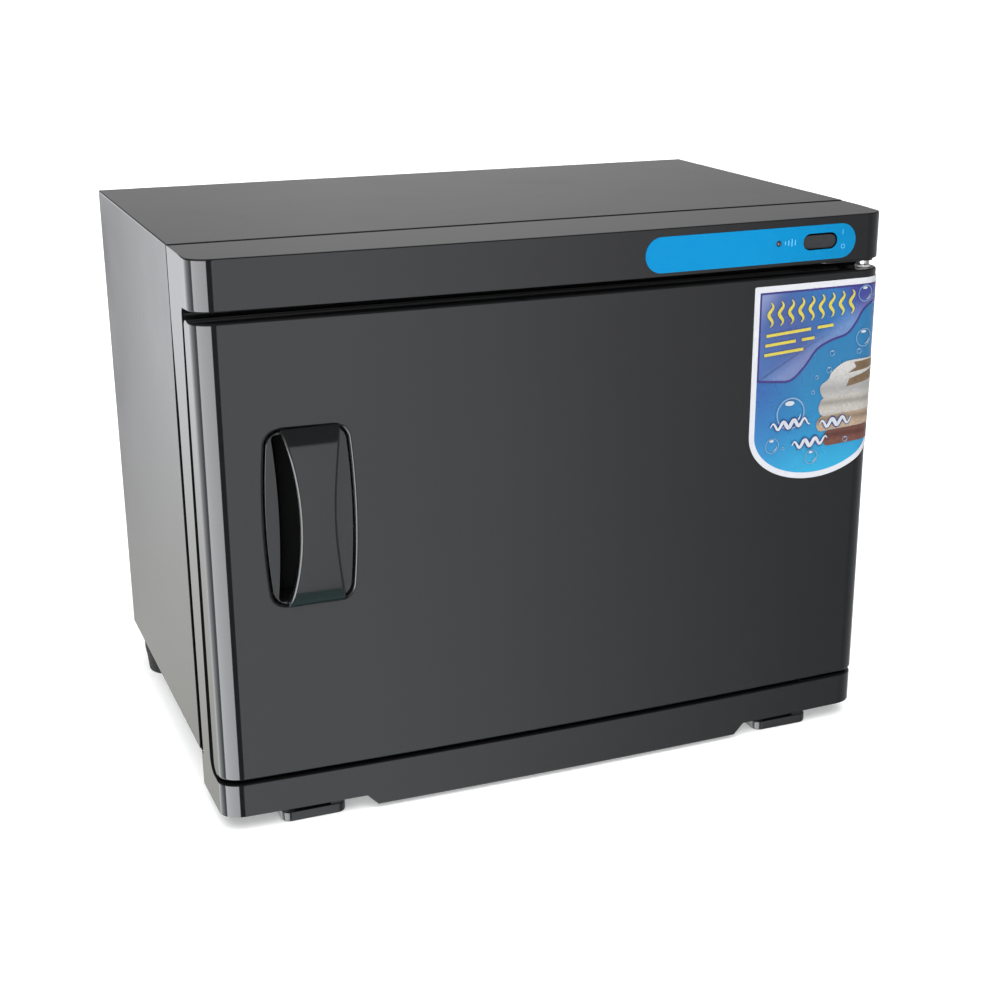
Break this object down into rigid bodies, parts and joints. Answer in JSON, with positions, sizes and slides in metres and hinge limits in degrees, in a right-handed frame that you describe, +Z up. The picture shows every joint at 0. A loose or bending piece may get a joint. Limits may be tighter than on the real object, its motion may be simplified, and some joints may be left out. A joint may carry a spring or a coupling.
{
  "type": "hot towel cabinet",
  "caption": "Table-top hot towel cabinet with a side-hung front door, bow handle, rocker switch, heated metal chamber, wire rack and drip tray.",
  "frame": {"origin": "middle of the underside, where the feet meet the table", "axes": "+X to the right seen from the front, +Y from front to back, +Z up; the door is at -Y"},
  "size_m": [0.45, 0.3106, 0.353],
  "materials": {
    "black_gloss": "gloss",
    "black_paint": "gloss",
    "dark_plastic": "satin",
    "liner_plastic": "satin",
    "bush_plastic": "satin",
    "foot_rubber": "matte",
    "seal_rubber": "matte",
    "aluminium": "satin",
    "zinc_steel": "satin",
    "wire_steel": "polished",
    "foam": "matte",
    "blue_overlay": "gloss",
    "label_film": "gloss",
    "red_lens": "gloss",
    "silicone": "matte",
    "ceramic_body": "matte",
    "wire_brown": "satin",
    "wire_blue": "satin"
  },
  "bodies": {
    "cabinet": {"base_plate": "zinc_steel", "control_overlay": "blue_overlay", "cord_gland": "dark_plastic", "foot_front_left": "foot_rubber", "foot_front_right": "foot_rubber", "foot_rear_left": "foot_rubber", "foot_rear_right": "foot_rubber", "foot_screw_front_left": "zinc_steel", "foot_screw_front_right": "zinc_steel", "foot_screw_rear_left": "zinc_steel", "foot_screw_rear_right": "zinc_steel", "front_frame": "black_gloss", "heater_clamp": "zinc_steel", "heater_pad": "silicone", "hinge_pin_bottom": "zinc_steel", "hinge_pin_top": "zinc_steel", "hinge_plate_bottom": "zinc_steel", "hinge_plate_top": "zinc_steel", "indicator_lamp": "red_lens", "inner_chamber": "aluminium", "insulation_bottom": "foam", "insulation_left": "foam", "insulation_rear": "foam", "insulation_right": "foam", "insulation_top": "foam", "magnet_catch": "dark_plastic", "outer_casing": "black_paint", "rack_rail_left": "aluminium", "rack_rail_right": "aluminium", "rear_panel": "black_paint", "rear_screw_1": "zinc_steel", "rear_screw_2": "zinc_steel", "rear_screw_3": "zinc_steel", "rear_screw_4": "zinc_steel", "rear_screw_5": "zinc_steel", "rear_screw_6": "zinc_steel", "switch_housing": "dark_plastic", "terminal_block": "dark_plastic", "thermal_fuse": "ceramic_body", "thermostat": "ceramic_body", "wire_from_switch": "wire_brown", "wire_fuse_to_heater": "silicone", "wire_heater_return": "wire_blue", "wire_to_fuse": "silicone", "wire_to_switch": "wire_brown"},
    "door": {"door_outer_shell": "black_gloss", "door_inner_liner": "liner_plastic", "door_insulation": "foam", "door_gasket": "seal_rubber", "hinge_bush_top": "bush_plastic", "hinge_bush_bottom": "bush_plastic", "handle_cup": "black_gloss", "handle_strap": "black_gloss", "handle_screw_bottom": "zinc_steel", "handle_screw_top": "zinc_steel", "door_label": "label_film", "striker_plate": "zinc_steel"},
    "rocker": {"switch_rocker": "dark_plastic"},
    "rack": {"wire_rack": "wire_steel"},
    "tray": {"drip_tray": "aluminium"}
  },
  "joints": [
    {"name": "door_hinge", "type": "hinge", "parent": "cabinet", "child": "door", "pos_m": [0.215, -0.1307, 0.176], "axis": [0, 0, 1], "range_deg": [0, 110]},
    {"name": "rocker_tilt", "type": "hinge", "parent": "cabinet", "child": "rocker", "pos_m": [0.1746, -0.1377, 0.3372], "axis": [-1, 0, 0], "range_deg": [0, 12]},
    {"name": "rack_slide", "type": "slide", "parent": "cabinet", "child": "rack", "axis": [0, -1, 0], "range_m": [-0.004, 0.016]},
    {"name": "tray_slide", "type": "slide", "parent": "cabinet", "child": "tray", "axis": [0, -1, 0], "range_m": [-0.004, 0.014]}
  ]
}
